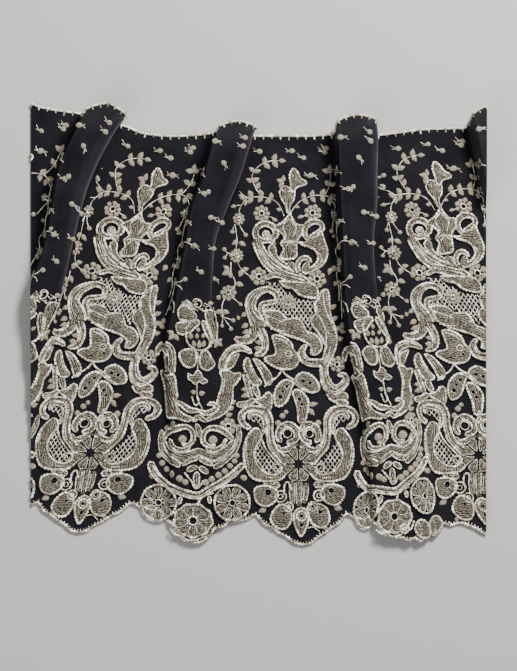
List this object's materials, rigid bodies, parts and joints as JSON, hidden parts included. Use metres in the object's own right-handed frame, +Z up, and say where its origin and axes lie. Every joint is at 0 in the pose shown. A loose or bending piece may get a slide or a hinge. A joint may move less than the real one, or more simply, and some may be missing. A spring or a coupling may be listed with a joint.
{
  "type": "lace trim",
  "caption": "Pleated length of scalloped lace trim on fine net, with raised scroll, flower and cartouche motifs, lying face up",
  "frame": {"origin": "under the middle of the whole part, on the surface it rests on", "axes": "+Z up from the surface, through the cloth's face; +Y up the cloth, from the scalloped hem to the footing; +X along the trim, to the right as seen face up"},
  "size_m": [0.255, 0.2502, 0.0162],
  "materials": {
    "net": "sheer dark net",
    "cord": "soft sheen of corded thread",
    "motif": "matte ivory clothwork"
  },
  "bodies": {
    "root": {"base_1": "motif", "base_2": "motif", "base_3": "motif", "body_1": "motif", "body_2": "motif", "body_3": "motif", "cartouche_1": "motif", "cartouche_2": "motif", "crest_1": "motif", "crest_2": "motif", "crest_3": "motif", "footing_cord": "cord", "hem_cord": "cord", "hem_rosette_1": "motif", "hem_rosette_2": "motif", "hem_swag_1": "motif", "hem_swag_2": "motif", "lobes_1": "motif", "lobes_2": "motif", "lobes_3": "motif", "net_ground": "net", "rose_0": "motif", "rose_1": "motif", "rose_2": "motif", "side_rosette_1": "motif", "side_rosette_2": "motif"}
  },
  "joints": []
}
